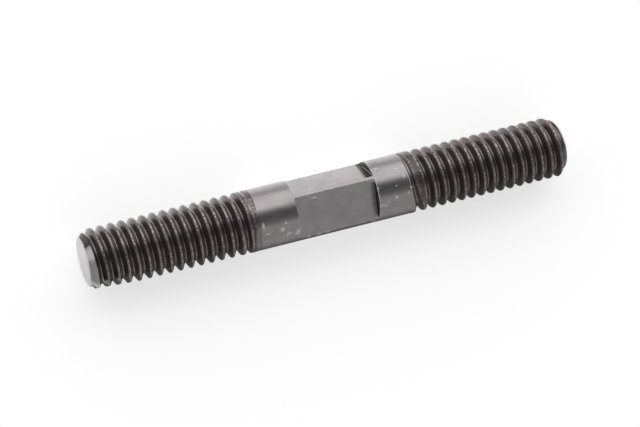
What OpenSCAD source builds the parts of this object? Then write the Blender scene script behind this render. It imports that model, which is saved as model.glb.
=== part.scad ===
/* [Stud] */
// Length over both end faces
overall_length = 47.4; // [45:0.1:80]
// Diameter of the round shank that the wrench square is milled from
shank_diameter = 5.8; // [5.6:0.05:6]

/* [Thread profile] */
// Diameter over the thread crests
crest_diameter = 5.85; // [5.7:0.01:6]
// Distance from one crest to the next
pitch = 1; // [0.7:0.05:1.1]
// Depth of the groove, as a share of the pitch
depth_share = 0.595; // [0.5:0.005:0.6]
// Width of the flat on top of each crest, as a share of the pitch
crest_flat_share = 0.165; // [0.12:0.005:0.2]
// Angle between the two flanks of the groove, in degrees
flank_angle = 60; // [50:1:62]
// Hand of both threads: 1 is right-handed, -1 is left-handed
thread_hand = 1; // [1, -1]

/* [Left thread] */
// Length from the left end face to where the left groove has run out
left_thread_length = 16.4; // [8:0.1:19]
// Turns over which the left groove grows shallow before it ends
left_runout_turns = 1.2; // [0.5:0.05:2]
// Angle about the axis at which the left groove meets its end face, in degrees
left_start_angle = 188; // [0:1:359]

/* [Right thread] */
// Length from the right end face to where the right groove has run out
right_thread_length = 15.9; // [8:0.1:18]
// Turns over which the right groove grows shallow before it ends
right_runout_turns = 0.75; // [0.5:0.05:2]
// Angle about the axis at which the right groove meets its end face, in degrees
right_start_angle = 240; // [0:1:359]

/* [End faces] */
// Diameter of each flat end face, inside its chamfer
end_face_diameter = 4.55; // [4:0.05:5]
// Slope of the end chamfer against the end face, in degrees
end_chamfer_angle = 45; // [30:1:60]

/* [Wrench square] */
// Length of the round shoulder between the left thread and the square
left_shoulder_length = 3.6; // [1:0.1:6]
// Length of the square along the stud
square_length = 7.9; // [5:0.1:10.5]
// Distance across two opposite flats, for a 5 mm spanner
across_flats = 4.9; // [4.6:0.05:5]
// How far the square is milled off the axis, away from its front flat
square_off_back = 0.37; // [0:0.01:0.4]
// How far the square is milled off the axis, away from its top flat
square_off_down = 0.15; // [0:0.01:0.4]
// Radius that the cutter leaves where a flat runs into its end wall
wall_fillet = 0.15; // [0.05:0.01:0.3]

/* [Hidden] */

// Straight steps in one turn of a groove; the crests stay truly round
turn_steps = 24;
// How far the milling cutters reach past the shank
cutter_reach = 1;
$fn = 96;

crest_radius = crest_diameter / 2;
shank_radius = shank_diameter / 2;
end_face_radius = end_face_diameter / 2;
groove_depth = depth_share * pitch;
crest_flat = crest_flat_share * pitch;
flank_slope = tan(flank_angle / 2);
chamfer_length = (crest_radius - end_face_radius) * tan(end_chamfer_angle);

left_end = -overall_length / 2;
right_end = overall_length / 2;
left_shoulder = left_end + left_thread_length;
right_shoulder = right_end - right_thread_length;
square_start = left_shoulder + left_shoulder_length;

// Heights of the four flats above the axis, named for the square before the stud is rolled
half_across = across_flats / 2;
front_height = half_across - square_off_back;
back_height = half_across + square_off_back;
top_height = half_across - square_off_down;
bottom_height = half_across + square_off_down;

// Moment about the axis, per length, of the metal that is milled away beyond a flat
function milled_moment(height) = 2 / 3 * pow(max(0, pow(shank_radius, 2) - pow(height, 2)), 1.5);

// The square sits off the axis, so a stud that lies loose rolls until its heavy side is down
heavy_back = milled_moment(front_height) - milled_moment(back_height);
heavy_down = milled_moment(top_height) - milled_moment(bottom_height);
rest_roll = atan2(heavy_down, heavy_back) - 90;

// Half the width of the groove at a given radius
function groove_half(r) = (pitch - crest_flat) / 2 + (r - crest_radius) * flank_slope;

// How far the thread cutter stands clear of the crests: as a share of the height at which it
// would be one pitch wide
clear_share = 0.6;
cutter_clear = clear_share * crest_flat / 2 / flank_slope;
cutter_top = crest_radius + cutter_clear;
cutter_root = crest_radius - groove_depth;

// The thread cutter's section: pairs of a place along the axis and a radius
cutter_section = [
    [groove_half(cutter_top), cutter_top],
    [groove_half(cutter_root), cutter_root],
    [-groove_half(cutter_root), cutter_root],
    [-groove_half(cutter_top), cutter_top]
];

// The cutter is drawn right out, quickly at first; the groove is gone at this share of the way
out_travel = groove_depth + cutter_clear;
gone_share = 1 - sqrt(1 - groove_depth / out_travel);

// The cutter's section after a number of turns, drawn outwards once it is past runout_start
function section_at(turn, runout_start, out_turns) =
    let (way = max(0, turn - runout_start) / out_turns, rise = out_travel * way * (2 - way))
    [for (p = cutter_section) [
        p[0] + pitch * turn,
        (p[1] + rise) * cos(360 * turn),
        (p[1] + rise) * sin(360 * turn)
    ]];

// A closed right-handed helical cutter: it comes in one turn before x = 0, and its groove
// has run out at x = length
module helical_cutter(length, runout_turns) {
    first = -1;
    runout_start = length / pitch - runout_turns;
    out_turns = runout_turns / gone_share;
    last = runout_start + out_turns;
    steps = ceil((last - first) * turn_steps);
    corners = len(cutter_section);
    points = [for (i = [0 : steps])
        each section_at(first + (last - first) * i / steps, runout_start, out_turns)];
    sides = [for (i = [0 : steps - 1], k = [0 : corners - 1])
        let (a = i * corners + k, b = i * corners + (k + 1) % corners)
        each [[a, b, b + corners], [a, b + corners, a + corners]]];
    start_cap = [[for (k = [0 : corners - 1]) corners - 1 - k]];
    end_cap = [[for (k = [0 : corners - 1]) steps * corners + k]];
    polyhedron(points = points, faces = concat(start_cap, sides, end_cap));
}

// A groove of the chosen hand that starts at x = 0 and runs towards +X
module thread_groove(length, runout_turns, start_angle) {
    rotate([start_angle, 0, 0])
        mirror([0, thread_hand < 0 ? 1 : 0, 0])
            helical_cutter(length, runout_turns);
}

// The turned blank: both ends at crest diameter with their chamfers, and the shank between
module blank() {
    rotate([0, 90, 0])
        rotate_extrude()
            polygon([
                [0, left_end],
                [end_face_radius, left_end],
                [crest_radius, left_end + chamfer_length],
                [crest_radius, left_shoulder],
                [shank_radius, left_shoulder],
                [shank_radius, right_shoulder],
                [crest_radius, right_shoulder],
                [crest_radius, right_end - chamfer_length],
                [end_face_radius, right_end],
                [0, right_end]
            ]);
}

// Side view of one flat's milling cutter, with round corners at its cutting edge
module slot_outline() {
    height = shank_radius + cutter_reach;
    translate([wall_fillet, 0])
        square([square_length - 2 * wall_fillet, height]);
    translate([0, wall_fillet])
        square([square_length, height - wall_fillet]);
    for (x = [wall_fillet, square_length - wall_fillet])
        translate([x, wall_fillet]) circle(wall_fillet);
}

// Mills one flat at a height above the axis, on the side that angle turns to
module mill_flat(angle, height) {
    width = shank_diameter + 2 * cutter_reach;
    rotate([angle, 0, 0])
        translate([square_start, width / 2, height])
            rotate([90, 0, 0])
                linear_extrude(width) slot_outline();
}

// All four flats of the wrench square: top, front, bottom and back
module wrench_square() {
    mill_flat(0, top_height);
    mill_flat(90, front_height);
    mill_flat(180, bottom_height);
    mill_flat(270, back_height);
}

// The stud as it lies: rolled onto its heavy side, with its crests on z = 0
module stud() {
    color("dimgray")
        translate([0, 0, crest_radius])
            rotate([rest_roll, 0, 0])
                difference() {
                    blank();
                    translate([left_end, 0, 0])
                        thread_groove(left_thread_length, left_runout_turns, left_start_angle);
                    translate([right_end, 0, 0])
                        rotate([0, 0, 180])
                            thread_groove(right_thread_length, right_runout_turns, right_start_angle);
                    wrench_square();
                }
}

stud();
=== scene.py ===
"""A double-ended steel stud that lies on a pale floor in soft studio light."""

import logging
import math
from dataclasses import dataclass, field
from enum import Enum
from functools import partial

import bmesh
import bpy
from mathutils import Matrix, Vector, noise


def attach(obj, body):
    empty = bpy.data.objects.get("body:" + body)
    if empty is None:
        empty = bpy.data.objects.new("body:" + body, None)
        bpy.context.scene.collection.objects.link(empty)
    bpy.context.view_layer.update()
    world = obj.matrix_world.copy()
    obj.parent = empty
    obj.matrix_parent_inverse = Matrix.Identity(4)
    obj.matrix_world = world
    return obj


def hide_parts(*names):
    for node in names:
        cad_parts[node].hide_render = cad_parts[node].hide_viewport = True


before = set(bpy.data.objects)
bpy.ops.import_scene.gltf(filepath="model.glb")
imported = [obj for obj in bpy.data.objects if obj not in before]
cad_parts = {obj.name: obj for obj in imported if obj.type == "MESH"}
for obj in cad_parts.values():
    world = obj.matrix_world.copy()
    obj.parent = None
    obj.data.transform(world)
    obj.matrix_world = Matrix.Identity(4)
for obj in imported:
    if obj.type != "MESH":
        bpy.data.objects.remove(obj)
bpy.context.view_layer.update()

log = logging.getLogger("stud")

# The mesh is worked out in millimetres and scaled to metres at the end
MM = 0.001


def linear(hex_colour: str) -> tuple[float, float, float, float]:
    """Turns an sRGB colour to linear light.

    Args:
        hex_colour: six hex digits, such as "c0c0c0".

    Returns:
        Red, green, blue and an alpha of 1.
    """
    parts = [int(hex_colour[i : i + 2], 16) / 255 for i in (0, 2, 4)]
    red, green, blue = (
        c / 12.92 if c <= 0.04045 else ((c + 0.055) / 1.055) ** 2.4 for c in parts
    )
    return red, green, blue, 1.0


def add_node(
    tree: bpy.types.NodeTree,
    kind: str,
    values: dict | None = None,
    links: dict | None = None,
    **settings: str,
) -> bpy.types.Node:
    """Adds one node with its settings and links.

    Args:
        tree: the node tree that gets it.
        kind: the node's type in Blender.
        values: what its input sockets hold, by name or number.
        links: what feeds its inputs, by name or number: an output socket, or a node,
            which stands for its first output.
        settings: attributes of the node itself.

    Returns:
        The new node.
    """
    node = tree.nodes.new(kind)
    for name, value in settings.items():
        setattr(node, name, value)
    for name, value in (values or {}).items():
        node.inputs[name].default_value = value
    for name, source in (links or {}).items():
        socket = source.outputs[0] if isinstance(source, bpy.types.Node) else source
        tree.links.new(socket, node.inputs[name])
    return node


def empty_material(name: str) -> bpy.types.Material:
    """Adds a material whose node tree holds nothing yet.

    Args:
        name: of the real finish.

    Returns:
        The new material.
    """
    material = bpy.data.materials.new(name)
    material.use_nodes = True
    material.node_tree.nodes.clear()
    return material


def to_object(bm: bmesh.types.BMesh, name: str) -> bpy.types.Object:
    """Turns a mesh into an object of the scene, at the origin, and frees it.

    Args:
        bm: the mesh that is used up.
        name: of the object and of its mesh.

    Returns:
        The new object.
    """
    mesh = bpy.data.meshes.new(name)
    bm.to_mesh(mesh)
    bm.free()
    made = bpy.data.objects.new(name, mesh)
    bpy.context.scene.collection.objects.link(made)
    return made


def soft_max(a: float, b: float, blend: float) -> float:
    """Returns the larger of a and b, with the corner between them rounded over blend."""
    return (a + b + math.sqrt((a - b) ** 2 + blend**2)) / 2


def clamp(value: float) -> float:
    """Returns the value held between 0 and 1."""
    return max(0.0, min(1.0, value))


def turn_from(angle: float, other: float) -> float:
    """Returns the turn that leads to angle from the other one, from -180 to 180 degrees."""
    return (angle - other + 180) % 360 - 180


def spin_once(rows: list[float], radius: float, columns: int, climb: float) -> bmesh.types.BMesh:
    """Spins a line of points along the axis once round it, into a mesh of its own.

    Args:
        rows: places of the points along the axis.
        radius: of the line.
        columns: steps in the full turn.
        climb: how far the line moves along the axis in the turn.

    Returns:
        The tube, closed at its seam if it doesn't climb.
    """
    bm = bmesh.new()
    line = [bm.verts.new((x, radius, 0)) for x in rows]
    edges = [bm.edges.new(pair) for pair in zip(line, line[1:])]
    bmesh.ops.spin(
        bm,
        geom=line + edges,
        cent=(0, 0, 0),
        axis=(1, 0, 0),
        dvec=(climb / columns, 0, 0),
        angle=math.tau,
        steps=columns,
        use_merge=climb == 0,
    )
    return bm


def pour(part: bmesh.types.BMesh, into: bmesh.types.BMesh) -> None:
    """Adds one mesh to another and frees it.

    Args:
        part: the mesh that is used up.
        into: the mesh that takes it.
    """
    mesh = bpy.data.meshes.new("part")
    part.to_mesh(mesh)
    part.free()
    into.from_mesh(mesh)
    bpy.data.meshes.remove(mesh)


class Region(Enum):
    """The finishes of the stud, in the order of its material slots."""

    THREAD = 0
    SHOULDER = 1
    FLAT = 2
    END_FACE = 3


# Further from its middle than this a nick has no effect, in millimetres and degrees
NICK_LIMITS = (1, 25)


@dataclass(frozen=True)
class Nick:
    """One small dent or scuff.

    Its place is along the stud in millimetres and round its axis in degrees, and its
    length lies along the stud turned by lean.
    """

    x: float
    angle: float
    length: float
    width: float
    lean: float = 0.0
    depth: float = 0.02

    def reach(self, x: float, angle: float, radius: float) -> float:
        """Says how far a point is inside the dent.

        Args:
            x: place along the stud, in millimetres.
            angle: place round the axis, in degrees.
            radius: of the surface there, in millimetres.

        Returns:
            1 in the middle of the dent, falling to about 0 outside it.
        """
        along = x - self.x
        turn = turn_from(angle, self.angle)
        if abs(along) > NICK_LIMITS[0] or abs(turn) > NICK_LIMITS[1]:
            return 0.0
        across = math.radians(turn) * radius
        cos, sin = math.cos(math.radians(self.lean)), math.sin(math.radians(self.lean))
        u = (along * cos + across * sin) / (self.length / 2)
        v = (across * cos - along * sin) / (self.width / 2)
        return math.exp(-(u * u + v * v))


# The scuffs and dings on the bare middle, from left to right
NICKS = (
    Nick(-7.19, 173.0, 0.22, 0.5),
    Nick(-6.81, 191.0, 0.45, 0.14, 10),
    Nick(-5.40, 188.8, 0.35, 0.40, 40),
    Nick(-5.04, 176.7, 0.2, 0.2),
    Nick(-4.82, 201.5, 0.55, 0.25, -20),
    Nick(-3.95, 202.8, 0.35, 0.6, 30),
    Nick(-2.71, 226.9, 0.2, 0.25),
    Nick(-1.77, 142.5, 0.5, 0.12),
    Nick(-1.74, 227.0, 0.3, 0.25),
    Nick(-0.87, 227.0, 0.35, 0.25),
    Nick(3.73, 230.3, 0.25, 0.25),
    Nick(4.32, 156.1, 0.14, 0.26, 45),
    Nick(4.36, 170.9, 0.2, 0.1, 30),
    Nick(4.5, 189.5, 0.55, 0.13, -30),
    Nick(5.1, 186.5, 0.5, 0.12, -45),
    Nick(4.85, 193.5, 0.4, 0.1, 12),
    Nick(4.88, 116.9, 0.65, 0.12, 5),
    Nick(5.95, 180.5, 0.3, 0.25),
    Nick(6.12, 159.7, 0.18, 0.18, 0, 0.05),
    Nick(6.63, 127.0, 0.25, 0.2),
    Nick(7.07, 144.9, 0.2, 0.3),
    Nick(7.19, 176.6, 0.2, 0.2),
    Nick(7.60, 168.9, 0.35, 0.2),
)

# Where the last crests and the chamfer of the right end are rubbed bright
RIGHT_SCUFFS = (
    Nick(23.0, 131.0, 0.35, 1.2),
    Nick(23.1, 186.0, 0.3, 1.4),
    Nick(22.3, 213.3, 0.6, 0.14),
)


@dataclass(frozen=True)
class ThreadForm:
    """The section of the groove between two crests, in millimetres."""

    pitch: float = 1.0
    crest_radius: float = 2.921
    depth: float = 0.59
    crest_flat: float = 0.165
    flank_angle: float = 60.0
    crest_round: float = 0.04
    root_round: float = 0.07
    stations: tuple[float, ...] = (0.05, 0.11, 0.2, 0.29, 0.36, 0.405, 0.445)

    @property
    def slope(self) -> float:
        """How far a flank moves sideways for each millimetre of depth."""
        return math.tan(math.radians(self.flank_angle / 2))

    def cut(self, aside: float, rise: float) -> float:
        """Gives the depth of the groove beside its middle.

        Args:
            aside: distance from the groove's middle.
            rise: how far the cutter is drawn out there.

        Returns:
            The depth below the crests.
        """
        flank = ((self.pitch - self.crest_flat) / 2 - abs(aside)) / self.slope
        full = -soft_max(-flank, -self.depth, self.root_round)
        return soft_max(full - rise, 0.0, self.crest_round)

    def half_width(self, rise: float) -> float:
        """Returns half the groove's width at its crests, where the cutter is drawn out."""
        return (self.pitch - self.crest_flat) / 2 - rise * self.slope

    def rows(self) -> list[float]:
        """Returns the places across one pitch, from groove middle to groove middle."""
        ahead = [s * self.pitch for s in (0.0, *self.stations, 0.5)]
        back = [self.pitch * (1 - s) for s in reversed(self.stations)]
        return ahead + back


@dataclass(frozen=True)
class ThreadedEnd:
    """One threaded end, from its flat end face to the plain shoulder, in millimetres."""

    face_x: float
    length: float
    runout_turns: float
    start_angle: float
    wear: float
    # How far the groove strays towards the middle as it runs out, how many turns before
    # the run-out that begins, and in how many turns it is done
    drift: float = 0.0
    drift_lead: float = 0.07
    drift_turns: float = 0.25
    # A side that is worn flat by the end face: its angle, and its height at the face
    worn_side: tuple[float, float] | None = None
    # How far it reaches, how much higher it grows for each millimetre, and the cosine of
    # half the angle that it spans
    worn_length: float = 4.0
    worn_slope: float = 0.07
    worn_span: float = 0.7
    # The side on which the stain of a long run-out ends soonest, in degrees, and how far
    # past the run-out the stain ends elsewhere and how much sooner there
    clean_side: float = 200.0
    stain_past: float = 0.2
    stain_short: float = 0.55
    # Dents in the crests: their noise along and round the axis, and the depth they reach
    dent_noise: tuple[float, float] = (1.3, 2.2)
    dent_reach: float = 0.12
    # Depth to which crests are rubbed, half the width of the painted highlight in a root and its
    # soft edge
    rub_depth: float = 0.04
    root_width: float = 0.1
    root_edge: float = 0.04
    # Width of the rubbed edge of a groove and of its fading, and the rubbing past it
    edge_rub: tuple[float, float, float] = (0.09, 0.1, 0.1)
    form: ThreadForm = field(default_factory=ThreadForm)
    face_radius: float = 2.26
    chamfer_slope: float = 1.0
    chamfer_round: float = 0.05
    chamfer_reach: float = 1.5
    shank_radius: float = 2.9
    # Length in which the crests go over into the shank
    crest_blend: float = 0.15
    # Plain stretch between the end of the run-out and the seam with the middle
    plain: float = 0.7
    out_travel: float = 0.68

    @property
    def seam(self) -> float:
        """The distance from the end face at which the middle takes over."""
        return self.length + self.plain

    @property
    def runout_start(self) -> float:
        """The turn at which the cutter begins to be drawn out."""
        return self.length / self.form.pitch - self.runout_turns

    def rise(self, turn: float) -> float:
        """Says how far the cutter is drawn out.

        Args:
            turn: number of turns from the end face.

        Returns:
            The distance that it has moved away from the axis.
        """
        gone = 1 - math.sqrt(1 - self.form.depth / self.out_travel)
        way = clamp((turn - self.runout_start) / (self.runout_turns / gone))
        return self.out_travel * way * (2 - way)

    def path(self, turn: float) -> float:
        """Returns the distance of the groove's middle from the face after some turns."""
        way = clamp((turn - self.runout_start + self.drift_lead) / self.drift_turns)
        return turn * self.form.pitch + self.drift * way * way * (3 - 2 * way)

    def grooves(self, x: float, angle: float) -> list[tuple[float, float]]:
        """Lists the two turns of the groove that may reach a point.

        Args:
            x: distance from the end face.
            angle: angle round the axis from where the groove starts, in radians.

        Returns:
            For each turn, how far the point is from its middle, and its rise.
        """
        turns = angle / math.tau
        nearest = turns + round(x / self.form.pitch - turns)
        return [(x - self.path(t), self.rise(t)) for t in (nearest - 1, nearest)]

    def dent(self, x: float, angle: float) -> float:
        """Says how deeply a crest is dented.

        Args:
            x: distance from the end face.
            angle: angle round the axis from where the groove starts, in radians.

        Returns:
            0 where it is whole, up to about 1.
        """
        along, around = self.dent_noise
        spot = Vector((x * along, math.cos(angle) * around, math.sin(angle) * around))
        return max(0.0, noise.noise(spot * 2.1) * 0.6 + noise.noise(spot * 5.0) * 0.4 + 0.1)

    def radius(self, x: float, angle: float) -> float:
        """Gives the radius of the finished surface.

        Args:
            x: distance from the end face.
            angle: angle round the axis from where the groove starts, in radians.

        Returns:
            The radius in millimetres.
        """
        form = self.form
        if x <= 0:
            return self.face_radius
        crest = form.crest_radius
        if x > self.length:
            past = (x - self.length) / self.crest_blend
            crest += (self.shank_radius - crest) * min(1.0, past)
        deepest = max(form.cut(aside, rise) for aside, rise in self.grooves(x, angle))
        radius = crest - (deepest if x < self.seam else 0.0)
        if x < self.length:
            near_crest = max(0.0, 1 - (crest - radius) / self.dent_reach)
            radius -= self.wear * near_crest * self.dent(x, angle)
        if self.worn_side and x < self.worn_length:
            side, low = self.worn_side
            off = angle - math.radians(side - self.start_angle)
            if math.cos(off) > self.worn_span:
                root = form.crest_radius - form.depth
                limit = min(form.crest_radius, (low + self.worn_slope * x) / math.cos(off))
                radius = root + (radius - root) * (limit - root) / form.depth
        if x >= self.chamfer_reach:
            return radius
        cone = self.face_radius + x / self.chamfer_slope
        return -soft_max(-radius, -cone, self.chamfer_round)

    def stain_edge(self, angle: float) -> float:
        """Gives the distance from the face at which the stain of the thread ends.

        Args:
            angle: angle round the axis from where the groove starts, in radians.

        Returns:
            A place past a long run-out. For a short one the middle of the last groove
            there, or a line that joins its two ends.
        """
        if self.runout_turns >= 1:
            clean = math.cos(angle - math.radians(self.clean_side - self.start_angle))
            return self.length + self.stain_past - self.stain_short * max(0.0, clean) ** 3
        last = self.length / self.form.pitch
        turn = angle / math.tau
        turn += math.floor(last - turn)
        if turn >= self.runout_start:
            return self.path(turn)
        gone = (turn - (last - 1)) / (1 - self.runout_turns)
        return self.path(last) * (1 - gone) + self.path(self.runout_start) * gone

    def place(self, height: float) -> Matrix:
        """Sets this end into the stud.

        Args:
            height: of the stud's axis over the floor.

        Returns:
            The matrix that leads from this end's own frame to the stud's.
        """
        place = Matrix.Translation((self.face_x, 0, height))
        if self.face_x > 0:
            place = place @ Matrix.Rotation(math.pi, 4, "Z")
        return place @ Matrix.Rotation(math.radians(self.start_angle), 4, "X")

    def marks(self, point: Vector) -> tuple[float, float]:
        """Says how brightly a point is rubbed as a crest, and how much painted highlight it takes as a
        root.

        Args:
            point: a place on the surface, in this end's own frame.

        Returns:
            The amount of each, from 0 to 1.
        """
        form = self.form
        if not 0 <= point.x < self.seam:
            return 0.0, 0.0
        below = form.crest_radius - math.hypot(point.y, point.z)
        crest = clamp(1.1 - below / self.rub_depth)
        root, gap = 0.0, 1.0
        for aside, rise in self.grooves(point.x, math.atan2(point.z, point.y)):
            # A groove this shallow is nearly gone
            if form.cut(0.0, rise) > 0.03:
                root = max(root, min(1.0, (self.root_width - abs(aside)) / self.root_edge))
                gap = min(gap, abs(aside) - form.half_width(rise))
        # Only the edges of a groove are rubbed bright, not a wide land beside it
        edge, fade, least = self.edge_rub
        return crest * max(least, min(1.0, 1 - (gap - edge) / fade)), root

    def add_to(self, bm: bmesh.types.BMesh, columns: int, height: float) -> None:
        """Sweeps the zigzag section once round, one pitch ahead, and shapes it.

        Args:
            bm: the mesh that gets this end.
            columns: steps in the full turn.
            height: of the stud's axis over the floor.
        """
        form = self.form
        rows: list[float] = []
        first = -1
        while first * form.pitch < self.seam + form.pitch / 2:
            rows += [first * form.pitch + r for r in form.rows()]
            first += 1
        part = spin_once(rows, form.crest_radius, columns, form.pitch)
        for v in part.verts:
            angle = math.atan2(v.co.z, v.co.y)
            x = max(0.0, min(self.seam, v.co.x))
            r = self.radius(x, angle)
            v.co = Vector((x, r * math.cos(angle), r * math.sin(angle)))
        bmesh.ops.transform(part, matrix=self.place(height), verts=part.verts[:])
        pour(part, bm)


@dataclass(frozen=True)
class WrenchSquare:
    """The bare middle: two round shoulders and the square milled between them."""

    start: float = -3.7
    length: float = 7.9
    shank_radius: float = 2.9
    # Heights of the top, front, bottom and back flat above the axis, by their angle
    flats: tuple[tuple[float, float], ...] = ((90, 2.30), (180, 2.08), (270, 2.60), (0, 2.82))
    fillet: float = 0.15
    # How far from the right end wall painted shade darkens the flats, and how much
    wall_shade_reach: float = 0.6
    wall_shade_most: float = 0.85
    # The angles of the top flat, and how far the painted shade reaches on it at the first of
    # them and how much further for each degree; from the third angle on the corner has a
    # thin painted highlight
    shaded_top: tuple[float, float, float] = (50, 131, 70)
    top_shade_reach: tuple[float, float] = (0.495, 0.0055)
    # How brightly the rims of the right and left wall are knocked, the left one also at
    # its low side, from which angle on that is, and how brightly the flats' long edges,
    # each partly wear and partly a painted highlight
    rim_wear_and_highlight: tuple[float, float, float] = (1.0, 0.5, 0.85)
    low_side: float = 175.0
    edge_bright: float = 0.45
    # Distances of the rings from an end wall, outwards below 0, with the fillet's end last,
    # the step of the others, and how close to those they may lie
    wall_rings: tuple[float, ...] = (-0.06, -0.02, 0.0, 0.02, 0.06, 0.1)
    step: float = 0.13
    ring_gap: float = 0.05
    nicks: tuple[Nick, ...] = ()

    @property
    def end(self) -> float:
        """The place along the stud of the right end wall."""
        return self.start + self.length

    def plan(self, left: float, right: float) -> list[float]:
        """Lists the places of the rings, closer together at the end walls.

        Args:
            left: where the left threaded end stops.
            right: where the right threaded end stops.

        Returns:
            Places along the stud, from left to right.
        """
        near = (*self.wall_rings, self.fillet)
        places = [self.start + d for d in near] + [self.end - d for d in near]
        count = round((right - left) / self.step)
        even = [left + (right - left) * i / count for i in range(count + 1)]
        places += [x for x in even if all(abs(x - p) > self.ring_gap for p in places)]
        return sorted(places)

    def flat_radius(self, x: float, angle: float) -> float:
        """Gives the radius of the milled surface, or a large one outside the square.

        Args:
            x: place along the stud.
            angle: round the axis from +Y, in degrees.

        Returns:
            The radius in millimetres.
        """
        from_wall = min(x - self.start, self.end - x)
        if from_wall < -1e-6:
            return math.inf
        short = min(self.fillet, max(0.0, self.fillet - from_wall))
        foot = self.fillet - math.sqrt(self.fillet**2 - short**2)
        radius = math.inf
        for normal, height in self.flats:
            off = math.radians(turn_from(angle, normal))
            if abs(off) < 1.4:
                radius = min(radius, (height + foot) / math.cos(off))
        return radius

    def edge_angles(self) -> list[float]:
        """Returns the angles at which the flats meet the round shank, in degrees."""
        return [
            (normal + side * math.degrees(math.acos(height / self.shank_radius))) % 360
            for normal, height in self.flats
            for side in (-1, 1)
        ]

    def shade_and_oil(self, x: float, angle: float, radius: float) -> float:
        """Says how dark the painted shade is against the right end wall.

        Args:
            x: place along the stud.
            angle: round the axis from +Y, in degrees.
            radius: of the surface there.

        Returns:
            1 on the wall, falling to 0 on the flat before it.
        """
        first, last, bright = self.shaded_top
        on_top = first < angle < last
        if self.flat_radius(self.end, angle) > self.shank_radius + 1e-4 and not on_top:
            return 0.0
        if -1e-4 < x - self.end < 0.03:
            # The wall itself, in full painted shade, and its rim, which is paler
            return 1.0 if radius < self.shank_radius - 0.01 else 0.7
        before = self.end - x
        if before < 0 or radius > self.shank_radius - 0.01 and not on_top:
            return 0.0
        if on_top:
            # The painted shade ends in a slanting line, and a thin painted highlight shows where the
            # wall begins
            reach = self.top_shade_reach[0] + self.top_shade_reach[1] * (angle - first)
            corner = 0.5 if 0.03 < before < 0.08 and angle > bright else 0.0
            return clamp(3.5 * (1 - before / reach)) - corner
        return self.wall_shade_most * max(0.0, 1 - before / self.wall_shade_reach) ** 1.5

    def edge_wear_and_highlight(self, x: float, angle: float, radius: float) -> float:
        """Says how bright an edge of the square is knocked, with a painted highlight on top of the
        wear.

        Args:
            x: place along the stud.
            angle: round the axis from +Y, in degrees.
            radius: of the surface there.

        Returns:
            1 on the outer edge of the right end wall, less on the other edges.
        """
        if radius < self.shank_radius - 0.02:
            return 0.0
        right, left, low = self.rim_wear_and_highlight
        for wall, amount in ((self.end, right), (self.start, low if angle > self.low_side else left)):
            past = x - wall if wall == self.end else wall - x
            cut = self.flat_radius(wall, angle) < self.shank_radius - 0.02
            # Only the last ring outside the wall is bright, not the wall
            if cut and 0.03 < past < 0.07:
                return amount
        if self.start < x < self.end:
            nearest = min(abs(turn_from(angle, c)) for c in self.edge_angles())
            return self.edge_bright if nearest < 0.3 else 0.0
        return 0.0

    def add_to(
        self,
        bm: bmesh.types.BMesh,
        left: float,
        right: float,
        first_angle: float,
        columns: int,
        height: float,
    ) -> None:
        """Spins the round shank and presses the flats and nicks into it.

        Args:
            bm: the mesh that gets the middle.
            left: where the left threaded end stops.
            right: where the right threaded end stops.
            first_angle: of one column of the threaded ends, in degrees.
            columns: steps in the full turn.
            height: of the stud's axis over the floor.
        """
        part = spin_once(self.plan(left, right), self.shank_radius, columns, 0)
        corners = self.edge_angles()
        for v in part.verts:
            x = v.co.x
            angle = (math.degrees(math.atan2(v.co.z, v.co.y)) + first_angle) % 360
            if self.start - 1e-6 < x < self.end + 1e-6:
                for corner in corners:
                    if abs(turn_from(angle, corner)) < 180 / columns:
                        angle = corner
            r = min(self.shank_radius, self.flat_radius(x, angle))
            if left + 0.01 < x < right - 0.01:
                r -= sum(n.depth * n.reach(x, angle, r) for n in self.nicks)
            turn = math.radians(angle)
            v.co = Vector((x, r * math.cos(turn), r * math.sin(turn) + height))
        pour(part, bm)


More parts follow.
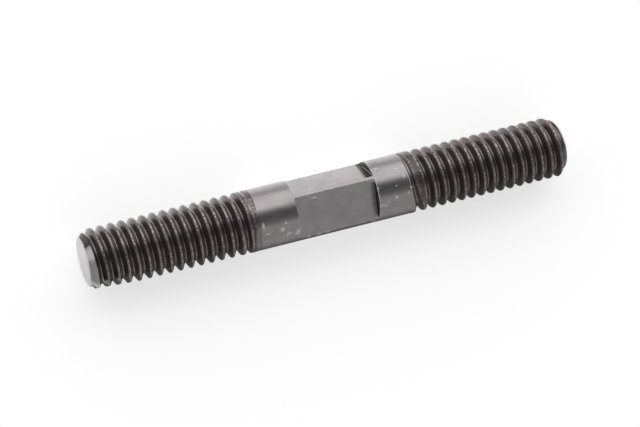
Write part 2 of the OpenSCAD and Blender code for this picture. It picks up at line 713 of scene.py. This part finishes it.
@dataclass(frozen=True)
class BareSteel:
    """Free-cutting steel, turned and then rubbed bright in a bag of other parts.

    It gives the eye a broad satin glint along the top, a dark stripe where the room is
    dark, and faint rings and tiny bright scuffs.
    """

    name: str = "bare_turned_steel"
    colour: str = "c7c1c2"
    dull_colour: str = "aca7a8"
    # Scuffs, and the painted highlights on the square's edges
    scuffed_and_highlit: str = "efecec"
    # Old oil, and painted shade against the right end wall and on the left chamfer
    oil_and_shade_colour: str = "2e2926"
    roughness: float = 0.24
    # Turning marks are really 0.05 mm apart; drawn coarser so that they show
    mark_spacing_mm: float = 0.25
    mark_axis: tuple[float, float, float] = (1.0, 0.06, 0.06)
    mark_depth_mm: float = 0.02
    bump: float = 0.12
    smudge_mm: float = 1.4
    # Width of the torn metal in a scuff, how much it breaks the scuff up, and the scuff's
    # share of metal, which is low because torn metal scatters light
    ragged_mm: float = 0.16
    ragged_share: float = 0.9
    torn_metal: float = 0.2
    # How much glossier and duller than its roughness the steel is in places
    gloss: tuple[float, float] = (-0.05, 0.07)

    def make(self) -> bpy.types.Material:
        """Builds the node tree of this finish.

        Returns:
            The finished material.
        """
        material = empty_material(self.name)
        add = partial(add_node, material.node_tree)
        place = add("ShaderNodeTexCoord").outputs["Object"]
        scale = 1 / (self.mark_spacing_mm * MM)
        marks_place = add(
            "ShaderNodeMapping",
            values={"Scale": tuple(scale * a for a in self.mark_axis)},
            links={"Vector": place},
        )
        marks = add(
            "ShaderNodeTexNoise", values={"Scale": 1.0, "Detail": 2.0}, links={"Vector": marks_place}
        )
        smudges, ragged = (
            add(
                "ShaderNodeTexNoise",
                values={"Scale": 1 / (size * MM), "Detail": detail},
                links={"Vector": place},
            )
            for size, detail in ((self.smudge_mm, 3.0), (self.ragged_mm, 1.0))
        )
        scuff_and_highlight, shade_and_oil = (
            add("ShaderNodeAttribute", attribute_name=name).outputs["Fac"]
            for name in ("scuff_and_highlight", "shade_and_oil")
        )
        torn = add(
            "ShaderNodeMath",
            operation="MULTIPLY_ADD",
            values={1: self.ragged_share},
            links={0: ragged, 2: scuff_and_highlight},
        )
        bared = add(
            "ShaderNodeMapRange", values={"From Min": 0.8, "From Max": 1.05}, links={"Value": torn}
        )
        colour = add(
            "ShaderNodeMix",
            data_type="RGBA",
            values={"A": linear(self.colour), "B": linear(self.dull_colour)},
            links={"Factor": smudges},
        ).outputs[2]
        # Old oil and painted shade darken the steel; scuffs and painted edge highlights lighten it
        for over, share in ((self.oil_and_shade_colour, shade_and_oil), (self.scuffed_and_highlit, bared)):
            colour = add(
                "ShaderNodeMix",
                data_type="RGBA",
                values={"B": linear(over)},
                links={"Factor": share, "A": colour},
            ).outputs[2]
        polish = add(
            "ShaderNodeMath",
            operation="MULTIPLY_ADD",
            values={1: self.torn_metal - 1, 2: 1.0},
            links={0: bared},
        )
        least, most = (self.roughness + change for change in self.gloss)
        rough = add(
            "ShaderNodeMapRange",
            values={"From Min": 0.3, "From Max": 0.7, "To Min": least, "To Max": most},
            links={"Value": smudges},
        )
        bump = add(
            "ShaderNodeBump",
            values={"Strength": self.bump, "Distance": self.mark_depth_mm * MM},
            links={"Height": marks},
        )
        shader = add(
            "ShaderNodeBsdfPrincipled",
            links={"Base Color": colour, "Metallic": polish, "Roughness": rough, "Normal": bump},
        )
        add("ShaderNodeOutputMaterial", links={"Surface": shader})
        return material


@dataclass(frozen=True)
class OiledThread:
    """Cut steel thread, stained by cutting oil in its grooves and rubbed along its crests.

    The eye sees dark grey-brown flanks that mirror each other, broken pale lines on the
    crests, a pale painted highlight of clean metal in the roots, and a light sheen of oil
    where a crest turns out of sight.
    """

    name: str = "oil_stained_cut_thread"
    stain: str = "685c5f"
    red_stain: str = "6c5b5c"
    green_stain: str = "625f59"
    bare: str = "bfbab7"
    # The painted highlight in the roots, on clean metal
    root: str = "8d8683"
    # Old oil, and painted shade on the left chamfer
    oil_and_shade_colour: str = "2e2926"
    # Share of bare metal in the stained flanks; the rest is dried oil that scatters light
    metal_share: float = 0.72
    roughness: float = 0.26
    oil: float = 0.5
    oil_roughness: float = 0.25
    patch_mm: float = 3.0
    # The torn metal of the crests is about 0.05 mm across; drawn coarser so that it shows
    tear_mm: float = 0.2
    tear_depth_mm: float = 0.03
    # The cutter's scratches are about 0.02 mm apart; drawn coarser so that they show
    scratch_mm: tuple[float, float, float] = (0.11, 1.6, 1.6)
    # How dark and how bright the scratches make the stain
    streaks: tuple[float, float] = (0.72, 1.12)

    def make(self) -> bpy.types.Material:
        """Builds the node tree of this finish.

        Returns:
            The finished material.
        """
        material = empty_material(self.name)
        add = partial(add_node, material.node_tree)
        place = add("ShaderNodeTexCoord").outputs["Object"]
        patches = add(
            "ShaderNodeTexNoise",
            values={"Scale": 1 / (self.patch_mm * MM), "Detail": 4.0, "Roughness": 0.68},
            links={"Vector": place},
        )
        tears = add(
            "ShaderNodeTexNoise",
            values={"Scale": 1 / (self.tear_mm * MM), "Detail": 2.0},
            links={"Vector": place},
        )
        along_cut = add(
            "ShaderNodeMapping",
            values={"Scale": tuple(1 / (s * MM) for s in self.scratch_mm)},
            links={"Vector": place},
        )
        scratches = add(
            "ShaderNodeTexNoise", values={"Scale": 1.0, "Detail": 2.0}, links={"Vector": along_cut}
        )
        dark, bright = self.streaks
        streaks = add(
            "ShaderNodeMapRange",
            values={"From Min": 0.35, "From Max": 0.65, "To Min": dark, "To Max": bright},
            links={"Value": scratches},
        )
        rub, root_highlight, shade_and_oil = (
            add("ShaderNodeAttribute", attribute_name=name).outputs["Fac"]
            for name in ("rub", "root_highlight", "shade_and_oil")
        )
        stains = add("ShaderNodeValToRGB", links={"Fac": patches})
        ramp = stains.color_ramp.elements
        ramp[0].position, ramp[0].color = 0.36, linear(self.green_stain)
        ramp[1].position, ramp[1].color = 0.64, linear(self.red_stain)
        ramp.new(0.48).color = linear(self.stain)
        broken = add(
            "ShaderNodeMapRange",
            values={"From Min": 0.42, "From Max": 0.58, "To Min": 0.15, "To Max": 1.0},
            links={"Value": tears},
        )
        rubbed = add("ShaderNodeMath", operation="MULTIPLY", links={0: rub, 1: broken})
        colour = add(
            "ShaderNodeMix",
            data_type="RGBA",
            blend_type="MULTIPLY",
            values={"Factor": 1.0},
            links={"A": stains, "B": streaks},
        ).outputs[2]
        # Old oil and painted shade darken the stain, the painted highlight lightens the roots, and
        # rubbing bares the crests
        for over, share in ((self.oil_and_shade_colour, shade_and_oil), (self.root, root_highlight), (self.bare, rubbed)):
            colour = add(
                "ShaderNodeMix",
                data_type="RGBA",
                values={"B": linear(over)},
                links={"Factor": share, "A": colour},
            ).outputs[2]
        clean = add("ShaderNodeMath", operation="MAXIMUM", links={0: rubbed, 1: root_highlight})
        metal = add(
            "ShaderNodeMapRange",
            values={"To Min": self.metal_share, "To Max": 1.0},
            links={"Value": clean},
        )
        torn = add("ShaderNodeMapRange", values={"To Min": 0.25, "To Max": 1.0}, links={"Value": rub})
        bump = add(
            "ShaderNodeBump",
            values={"Distance": self.tear_depth_mm * MM},
            links={"Height": tears, "Strength": torn},
        )
        shader = add(
            "ShaderNodeBsdfPrincipled",
            values={
                "Roughness": self.roughness,
                "Coat Weight": self.oil,
                "Coat Roughness": self.oil_roughness,
            },
            links={"Base Color": colour, "Metallic": metal, "Normal": bump},
        )
        add("ShaderNodeOutputMaterial", links={"Surface": shader})
        return material


@dataclass
class Stud:
    """The whole stud as one closed skin over the solid."""

    left: ThreadedEnd = field(
        default_factory=lambda: ThreadedEnd(-23.699, 16.05, 1.2, 188, 0.02, worn_side=(247, 2.58))
    )
    right: ThreadedEnd = field(
        default_factory=lambda: ThreadedEnd(23.699, 15.9, 0.75, 254, 0.04, drift=0.5)
    )
    square: WrenchSquare = field(default_factory=lambda: WrenchSquare(nicks=NICKS))
    height: float = 2.925
    columns: int = 135
    # The square is off the axis, so the stud lies rolled onto its heavy side
    rest_roll: float = -66.877
    # The side of the left chamfer that is darkened with painted shade, in degrees, and how dark it is
    shaded_chamfer: tuple[float, float, float] = (70.0, 130.0, 0.85)
    # The side of the left run-out with a faint stain, in degrees, and how dark it is, and
    # where the stain lies from the end of the thread
    faint_runout: tuple[float, float, float] = (150.0, 240.0, 0.3)
    faint_band: tuple[float, float] = (-0.4, 0.25)
    # Half the angle of the worn side that holds oil, in degrees, and how dark it is
    oiled_wear: tuple[float, float] = (50.0, 0.8)
    # How close to an end face a place counts as on it
    face_skin: float = 0.005
    # How far from an end face the chamfer reaches, and how close to its cone a face counts
    chamfer_length: float = 0.8
    chamfer_skin: float = 0.06
    # How far from the right end face the scuffs reach, and the mean radius there
    scuffed_length: float = 1.8
    scuffed_radius: float = 2.6
    # Angles in degrees from which an edge is sharp: at the square and the rims, elsewhere
    creases: tuple[float, float] = (14.0, 50.0)

    @property
    def left_end(self) -> float:
        """The place along the stud where the left thread stops."""
        return self.left.face_x + self.left.length

    @property
    def right_end(self) -> float:
        """The place along the stud where the right thread stops."""
        return self.right.face_x - self.right.length

    def from_face(self, x: float) -> float:
        """Returns the distance of a place along the stud from the nearer end face."""
        return min(x - self.left.face_x, self.right.face_x - x)

    def build(self) -> bpy.types.Object:
        """Makes the mesh, closes it and gives each face its finish.

        Returns:
            The stud's object, which stands for the solid of the same name.
        """
        bm = bmesh.new()
        self.left.add_to(bm, self.columns, self.height)
        self.right.add_to(bm, self.columns, self.height)
        self.square.add_to(
            bm,
            self.left.face_x + self.left.seam,
            self.right.face_x - self.right.seam,
            self.left.start_angle,
            self.columns,
            self.height,
        )
        bmesh.ops.remove_doubles(bm, verts=bm.verts[:], dist=1e-3)
        rims = [e for e in bm.edges if e.is_boundary]
        log.info("open edges before the end faces: %d", len(rims))
        caps = bmesh.ops.holes_fill(bm, edges=rims, sides=0)["faces"]
        bmesh.ops.poke(bm, faces=caps)
        bmesh.ops.recalc_face_normals(bm, faces=bm.faces[:])
        for face in bm.faces:
            face.smooth = True
            face.material_index = self.region(face.calc_center_median()).value
        self.sharpen(bm)
        self.paint(bm)
        bmesh.ops.rotate(
            bm,
            cent=(0, 0, self.height),
            matrix=Matrix.Rotation(math.radians(self.rest_roll), 3, "X"),
            verts=bm.verts[:],
        )
        bmesh.ops.scale(bm, vec=(MM, MM, MM), verts=bm.verts[:])
        open_edges = sum(1 for e in bm.edges if not e.is_manifold)
        log.info("triangles %d, open edges %d", sum(len(f.verts) - 2 for f in bm.faces), open_edges)
        return to_object(bm, "stud_skin")

    def sharpen(self, bm: bmesh.types.BMesh) -> None:
        """Marks the hard edges: all that a milled flat meets, and the rims of the ends.

        Args:
            bm: the closed mesh, in millimetres.
        """
        for edge in bm.edges:
            middle = (edge.verts[0].co + edge.verts[1].co) / 2
            milled = self.square.start - 0.1 < middle.x < self.square.end + 0.1
            rim = self.from_face(middle.x) < self.face_skin
            limit = math.radians(self.creases[0] if milled or rim else self.creases[1])
            edge.smooth = edge.is_manifold and edge.calc_face_angle(0) < limit

    def region(self, centre: Vector) -> Region:
        """Chooses the finish of a face.

        Args:
            centre: of the face, in millimetres.

        Returns:
            The finish.
        """
        radius = math.hypot(centre.y, centre.z - self.height)
        if self.from_face(centre.x) < self.face_skin:
            return Region.END_FACE
        if self.square.start - 0.03 < centre.x < self.square.end + 0.03:
            angle = math.degrees(math.atan2(centre.z - self.height, centre.y))
            x = max(self.square.start, min(self.square.end, centre.x))
            if self.square.flat_radius(x, angle) < radius + 0.02:
                return Region.FLAT
        end = self.left if centre.x < self.square.start else self.right
        near = end.place(self.height).inverted() @ centre
        if near.x > end.stain_edge(math.atan2(near.z, near.y)):
            return Region.SHOULDER
        # What the grooves leave of the chamfers is bare too
        cone = end.face_radius + self.from_face(centre.x) / end.chamfer_slope
        return Region.SHOULDER if radius > cone - self.chamfer_skin else Region.THREAD

    def scuffed_and_highlit(self, point: Vector, angle: float, radius: float) -> float:
        """Says how brightly a point is scuffed, with the painted highlights on the square's edges.

        Args:
            point: a place on the surface, in millimetres.
            angle: round the axis from +Y, in degrees.
            radius: of the surface there.

        Returns:
            The amount, from 0 to 1.
        """
        nicks, worn_and_highlit = self.square.nicks, 0.0
        if point.x > self.right.face_x - self.scuffed_length:
            nicks, radius = RIGHT_SCUFFS, self.scuffed_radius
        elif self.left_end < point.x < self.right_end:
            worn_and_highlit = self.square.edge_wear_and_highlight(point.x, angle, radius)
        else:
            return 0.0
        if worn_and_highlit > 0:
            # A knocked edge and its painted highlight are bright in some places and less so in others
            worn_and_highlit *= 0.85 + 0.6 * noise.noise(point * 4.0)
        return clamp(1.6 * sum(n.reach(point.x, angle, radius) for n in nicks) + worn_and_highlit)

    def oil_and_shade_at(self, point: Vector, angle: float, radius: float) -> float:
        """Says how dark the old oil and the painted shade are at a point.

        Args:
            point: a place on the surface, in millimetres.
            angle: round the axis from +Y, in degrees.
            radius: of the surface there.

        Returns:
            0 on clean metal, up to 1.
        """
        reach, past = point.x - self.left.face_x, point.x - self.left_end
        if 0.01 < reach < self.chamfer_length:
            # Painted shade on the chamfer; its borders are ragged and soft over 3 degrees
            start, stop, dark = self.shaded_chamfer
            inside = min(angle - start, stop - angle) / 3 + noise.noise(point * 3.0)
            return dark * clamp(inside)
        if self.chamfer_length < reach < self.left.worn_length:
            spread, dark = self.oiled_wear
            if abs(angle - self.left.worn_side[0]) >= spread:
                return 0.0
            whole = self.left.worn_length - self.chamfer_length
            return dark * (1 - (reach - self.chamfer_length) / whole)
        if self.faint_band[0] < past < self.faint_band[1]:
            # Its borders are soft over 15 degrees
            start, stop, dark = self.faint_runout
            return dark * clamp(min(angle - start, stop - angle) / 15)
        between = self.left_end < point.x < self.right_end
        return self.square.shade_and_oil(point.x, angle, radius) if between else 0.0

    def paint(self, bm: bmesh.types.BMesh) -> None:
        """Writes the amounts of rubbing, painted root highlight, scuffs with painted edge highlights,
        and oil with painted shade that the finishes read.

        Args:
            bm: the closed mesh, in millimetres.
        """
        names = ("rub", "root_highlight", "scuff_and_highlight", "shade_and_oil")
        rub, root_highlight, scuff_and_highlight, shade_and_oil = (bm.verts.layers.float.new(name) for name in names)
        to_left = self.left.place(self.height).inverted()
        to_right = self.right.place(self.height).inverted()
        for v in bm.verts:
            y, z = v.co.y, v.co.z - self.height
            angle, radius = math.degrees(math.atan2(z, y)) % 360, math.hypot(y, z)
            v[scuff_and_highlight] = self.scuffed_and_highlit(v.co, angle, radius)
            v[shade_and_oil] = self.oil_and_shade_at(v.co, angle, radius)
            if v.co.x < self.left_end + self.left.plain:
                v[rub], v[root_highlight] = self.left.marks(to_left @ v.co)
            elif v.co.x > self.right_end - self.right.plain:
                v[rub], v[root_highlight] = self.right.marks(to_right @ v.co)
                v[rub] = max(v[rub], v[scuff_and_highlight])

    def dress(self, piece: bpy.types.Object) -> None:
        """Gives the stud its finishes and its place in the frame.

        Args:
            piece: the stud's object.
        """
        finishes = {
            Region.THREAD: OiledThread(),
            Region.SHOULDER: BareSteel(),
            Region.FLAT: BareSteel(
                name="bare_milled_steel",
                colour="c4c0c1",
                roughness=0.28,
                mark_spacing_mm=0.3,
                mark_axis=(0.1, 1.0, 1.0),
            ),
            Region.END_FACE: BareSteel(
                name="bare_faced_steel",
                colour="d6d5d5",
                dull_colour="c9c7c8",
                roughness=0.42,
                mark_axis=(1.0, 0.25, 1.0),
            ),
        }
        for region in Region:
            piece.data.materials.append(finishes[region].make())
        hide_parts("stud")
        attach(piece, "root")


@dataclass(frozen=True)
class Studio:
    """The pale floor, the soft light round the stud and the camera."""

    floor_colour: str = "f4f4f4"
    floor_half_m: float = 2.0
    # What the camera sees of the floor is lifted by this much, to a white that keeps shadow
    floor_lift: float = 0.60
    # The pool of light behind the stud that its back mirrors, from afar to the stud, and
    # how far it reaches
    pool_levels: tuple[float, float] = (0.1, 0.68)
    pool_reach_mm: float = 22.0
    # The pool also reaches round the stud's left end, from the first place to the last
    pool_left_mm: tuple[float, float, float] = (-23.7, -25.0, -29.0)
    # A painted shadow on the floor close in front of the stud, which only the steel's reflections show,
    # and how far that goes
    front_shadow_colour: str = "c8c8c8"
    front_shadow_mm: tuple[float, float] = (-5.5, -8.5)
    # What the bare steel mirrors: brightness against the angle above the front horizon
    dome: tuple[tuple[float, float], ...] = (
        (-90, 0.33), (20, 0.38), (50, 0.42), (57, 0.27), (64, 0.17), (76, 0.12), (84, 0.105),
        (97, 0.105), (104, 0.17), (110, 0.34), (117, 0.68), (124, 0.94), (168, 0.97),
        (180, 0.60), (269, 0.40),
    )
    # How far to its left and right the sides take over from that, as a sine
    side_start: tuple[float, float] = (0.7, 0.93)
    # What it mirrors there, past the reach of the dark front
    sides: tuple[tuple[float, float], ...] = (
        (-90, 0.33), (20, 0.38), (86, 0.40), (94, 0.92), (168, 0.92), (180, 0.50), (269, 0.40),
    )
    # The camera's place, its right and up directions, and its lens in millimetres
    camera_mm: tuple[float, float, float] = (-67.752, -3.445, 238.174)
    right: tuple[float, float, float] = (0.933797, -0.242841, 0.262775)
    up: tuple[float, float, float] = (0.230827, 0.970010, 0.076156)
    lens: float = 147.30

    def add_floor(self) -> None:
        """Lays the pale floor that keeps the stud's shadow."""
        bm = bmesh.new()
        bmesh.ops.create_grid(bm, x_segments=4, y_segments=4, size=self.floor_half_m)
        floor = to_object(bm, "floor")
        floor.data.materials.append(self.floor_finish())

    def floor_finish(self) -> bpy.types.Material:
        """Makes the matt pale floor, which the steel mirrors darker in front through a painted shadow,
        and lighter behind through a glowing pool of light.

        Returns:
            The floor's material.
        """
        material = empty_material("pale_floor")
        # The floor's own glow is for the camera and the mirroring steel, not a lamp
        material.cycles.emission_sampling = "NONE"
        add = partial(add_node, material.node_tree)
        path = add("ShaderNodeLightPath")
        to_steel = path.outputs["Is Glossy Ray"]
        place = add("ShaderNodeTexCoord").outputs["Object"]
        x, y, _ = add("ShaderNodeSeparateXYZ", links={"Vector": place}).outputs
        reach, (afar, near) = self.pool_reach_mm * MM, self.pool_levels
        behind = add(
            "ShaderNodeMapRange",
            interpolation_type="SMOOTHERSTEP",
            values={"From Min": reach, "From Max": 0.0, "To Min": afar, "To Max": near},
            links={"Value": y},
        )
        back = add("ShaderNodeMath", operation="GREATER_THAN", values={1: 0.0}, links={0: y})
        left = add(
            "ShaderNodeMath", operation="LESS_THAN", values={1: self.pool_left_mm[0] * MM}, links={0: x}
        )
        near_left = add(
            "ShaderNodeMapRange",
            interpolation_type="SMOOTHSTEP",
            values={"From Min": self.pool_left_mm[2] * MM, "From Max": self.pool_left_mm[1] * MM},
            links={"Value": x},
        )
        strip = add("ShaderNodeMath", operation="MULTIPLY", links={0: left, 1: near_left})
        lit = add("ShaderNodeMath", operation="MAXIMUM", links={0: back, 1: strip})
        pool = add("ShaderNodeMath", operation="MULTIPLY", links={0: behind, 1: lit})
        dark = add("ShaderNodeMath", operation="GREATER_THAN", links={0: to_steel, 1: lit})
        close = add(
            "ShaderNodeMapRange",
            interpolation_type="SMOOTHSTEP",
            values={"From Min": self.front_shadow_mm[1] * MM, "From Max": self.front_shadow_mm[0] * MM},
            links={"Value": y},
        )
        shade = add("ShaderNodeMath", operation="MULTIPLY", links={0: dark, 1: close})
        paint = add(
            "ShaderNodeMix",
            data_type="RGBA",
            values={"A": linear(self.floor_colour), "B": linear(self.front_shadow_colour)},
            links={"Factor": shade},
        )
        mirrored = add("ShaderNodeMath", operation="MULTIPLY", links={0: pool, 1: to_steel})
        lift = add(
            "ShaderNodeMath",
            operation="MULTIPLY_ADD",
            values={1: self.floor_lift},
            links={0: path.outputs["Is Camera Ray"], 2: mirrored},
        )
        glow = add("ShaderNodeEmission", links={"Strength": lift})
        matt = add("ShaderNodeBsdfDiffuse", links={"Color": paint.outputs[2]})
        shader = add("ShaderNodeAddShader", links={0: matt, 1: glow})
        add("ShaderNodeOutputMaterial", links={"Surface": shader})
        return material

    def add_light(self) -> None:
        """Sets the dome of soft light: dark in front, bright above, white to the camera."""
        world = bpy.data.worlds.new("studio")
        world.use_nodes = True
        bpy.context.scene.world = world
        world.node_tree.nodes.clear()
        add = partial(add_node, world.node_tree)
        place = add("ShaderNodeTexCoord").outputs["Generated"]
        x, y, z = add("ShaderNodeSeparateXYZ", links={"Vector": place}).outputs
        forward = add("ShaderNodeMath", operation="MULTIPLY", values={1: -1.0}, links={0: y})
        share = add("ShaderNodeMath", operation="ARCTAN2", links={0: z, 1: forward})
        # The angle becomes a share of the full turn, which starts straight down
        for operation, value in (
            ("ADD", math.radians(90)),
            ("FLOORED_MODULO", math.tau),
            ("DIVIDE", math.tau),
        ):
            share = add("ShaderNodeMath", operation=operation, values={1: value}, links={0: share})
        ramps = []
        for levels in (self.dome, self.sides):
            ramp = add("ShaderNodeValToRGB", links={"Fac": share})
            stops = ramp.color_ramp.elements
            for i, (degrees, level) in enumerate(levels):
                where = (degrees + 90) / 360
                stop = stops[i] if i < 2 else stops.new(where)
                stop.position = where
                stop.color = (level, level, level, 1.0)
            ramps.append(ramp)
        sideways = add("ShaderNodeMath", operation="ABSOLUTE", links={0: x})
        aside = add(
            "ShaderNodeMapRange",
            interpolation_type="SMOOTHSTEP",
            values={"From Min": self.side_start[0], "From Max": self.side_start[1]},
            links={"Value": sideways},
        )
        around = add(
            "ShaderNodeMix", data_type="RGBA", links={"Factor": aside, "A": ramps[0], "B": ramps[1]}
        )
        path = add("ShaderNodeLightPath")
        soft = add(
            "ShaderNodeMix",
            data_type="RGBA",
            values={"B": (1.0, 1.0, 1.0, 1.0)},
            links={"Factor": path.outputs["Is Camera Ray"], "A": around.outputs[2]},
        )
        light = add("ShaderNodeBackground", links={"Color": soft.outputs[2]})
        add("ShaderNodeOutputWorld", links={"Surface": light})

    def add_camera(self) -> None:
        """Sets the camera where the photographer's was, with the same roll and lens."""
        data = bpy.data.cameras.new("camera")
        data.lens = self.lens
        data.sensor_width = 36.0
        data.clip_start, data.clip_end = 0.01, 20.0
        camera = bpy.data.objects.new("camera", data)
        bpy.context.scene.collection.objects.link(camera)
        right, up = Vector(self.right), Vector(self.up)
        turn = Matrix((right, up, right.cross(up))).transposed()
        camera.matrix_world = Matrix.Translation(Vector(self.camera_mm) * MM) @ turn.to_4x4()
        bpy.context.scene.camera = camera


def main() -> None:
    """Builds the stud and its studio."""
    logging.basicConfig(level=logging.INFO, format="%(name)s: %(message)s")
    bpy.context.scene.view_settings.view_transform = "Standard"
    studio = Studio()
    studio.add_camera()
    studio.add_light()
    studio.add_floor()
    log.info("floor, light and camera are set")
    stud = Stud()
    piece = stud.build()
    stud.dress(piece)
    log.info("stud: %d faces", len(piece.data.polygons))


if __name__ == "__main__":
    main()
